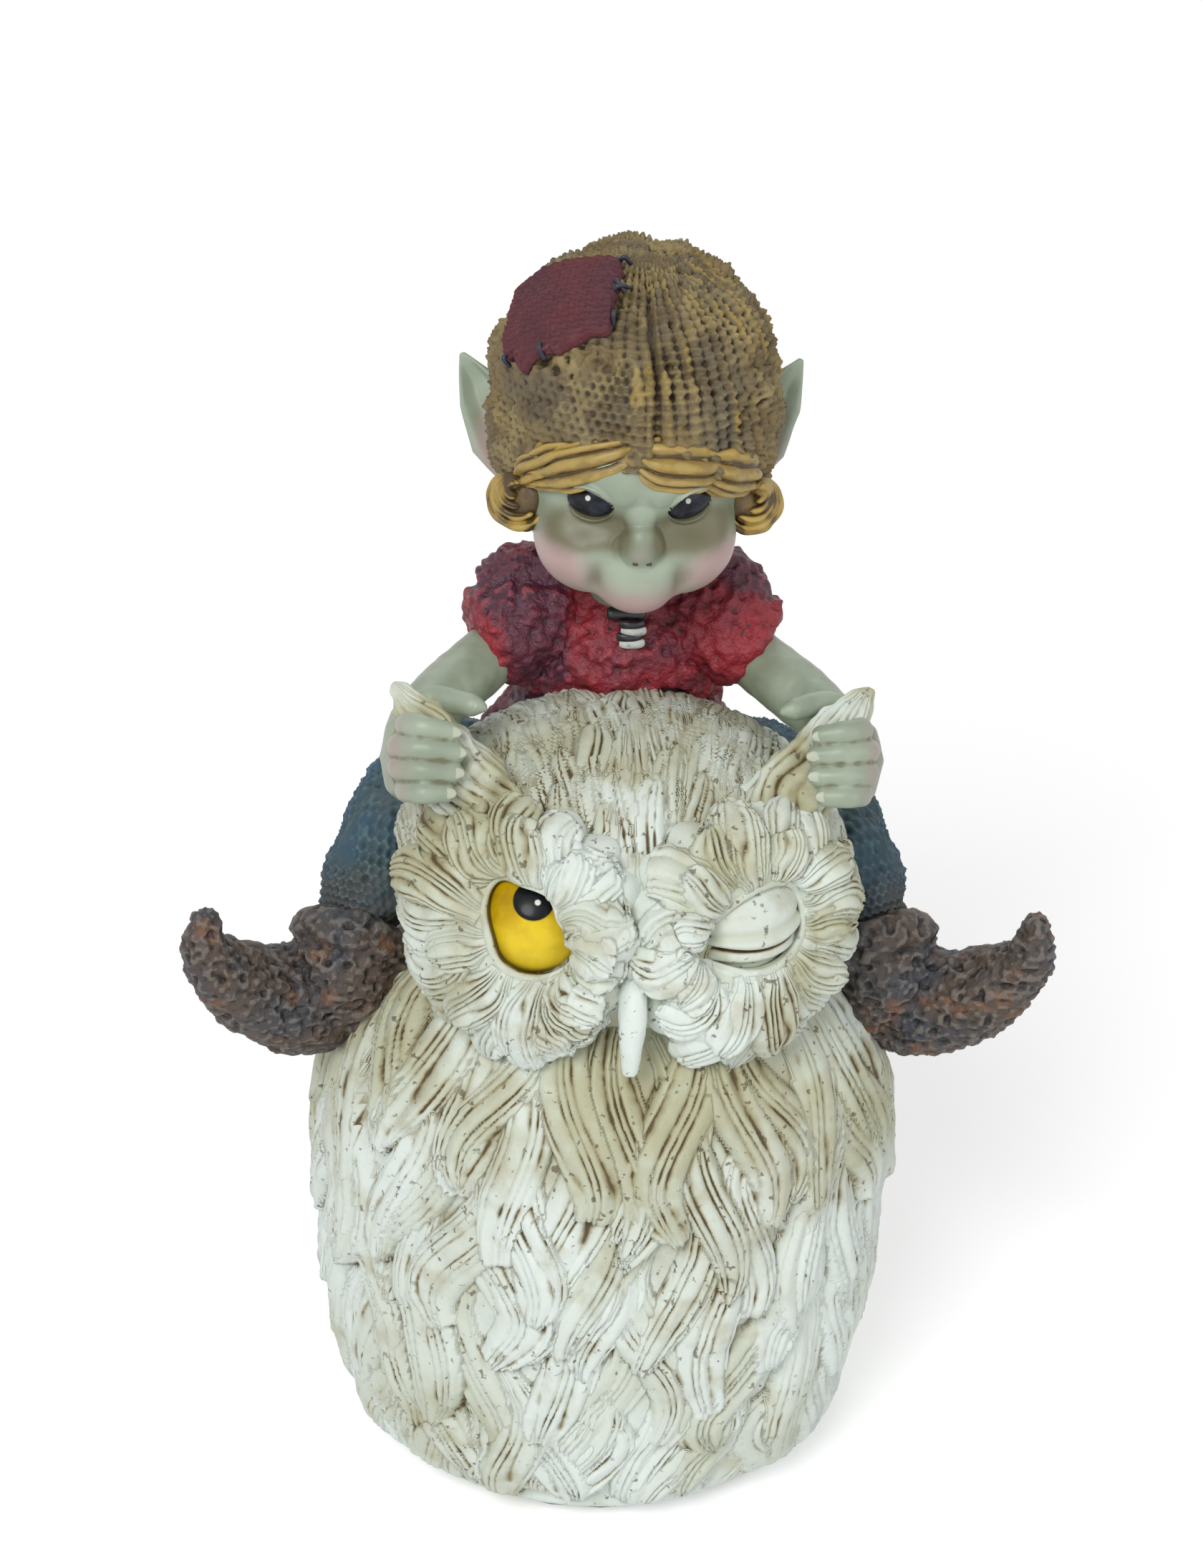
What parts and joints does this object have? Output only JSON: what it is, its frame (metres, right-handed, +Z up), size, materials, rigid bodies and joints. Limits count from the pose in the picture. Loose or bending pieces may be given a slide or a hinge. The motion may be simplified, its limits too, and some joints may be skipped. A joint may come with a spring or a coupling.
{
  "type": "pixie figurine",
  "caption": "Cast resin ornament of a pixie in a patched knitted hat riding a winking white owl, gripping its ear tufts, on a flat felt foot.",
  "frame": {"origin": "centre of the felt pad's underside, on which the ornament stands", "axes": "+Z up, the owl and its rider face -Y, and the figure's own left is +X"},
  "size_m": [0.113, 0.075, 0.1669],
  "materials": {
    "felt": "woolly felt",
    "bare_resin": "unpainted cast resin",
    "plumage": "white paint with a brown wash in the grooves",
    "owl_eye": "gloss paint",
    "skin": "satin paint with pink blush",
    "red_cloth": "matt paint with a dark wash",
    "toggle_black": "satin paint",
    "blue_cloth": "matt paint with a dark wash",
    "shoe_brown": "matt paint, dry brushed in rust",
    "hair": "satin paint with a dark wash",
    "hat_knit": "matt paint, dry brushed in mustard",
    "patch_wine": "matt paint",
    "steel": "plain wire"
  },
  "bodies": {
    "root": {"felt_pad": "felt", "base_plate": "bare_resin", "owl_body": "plumage", "owl_head": "plumage", "owl_upper_lid": "plumage", "owl_lower_lid": "plumage", "owl_beak": "plumage", "owl_tail": "plumage", "owl_ruff_left": "plumage", "owl_ruff_right": "plumage", "owl_ear_tuft_left": "plumage", "owl_ear_tuft_right": "plumage", "owl_wing_left": "plumage", "owl_wing_right": "plumage", "owl_open_eye": "owl_eye", "pixie_head": "skin", "pixie_arm_left": "skin", "pixie_arm_right": "skin", "pixie_ear_left": "skin", "pixie_ear_right": "skin", "pixie_tunic": "red_cloth", "tunic_toggle": "toggle_black", "pixie_leg_left": "blue_cloth", "pixie_leg_right": "blue_cloth", "pixie_shoe_left": "shoe_brown", "pixie_shoe_right": "shoe_brown", "pixie_fringe": "hair", "pixie_nape_hair": "hair", "pixie_curl_left": "hair", "pixie_curl_right": "hair", "pixie_hat": "hat_knit", "hat_patch": "patch_wine", "owl_neck_pin": "steel", "pixie_seat_pin": "steel", "pixie_neck_pin": "steel", "leg_pin_left": "steel", "leg_pin_right": "steel", "shoe_pin_left": "steel", "shoe_pin_right": "steel", "arm_pin_left": "steel", "arm_pin_right": "steel"}
  },
  "joints": []
}
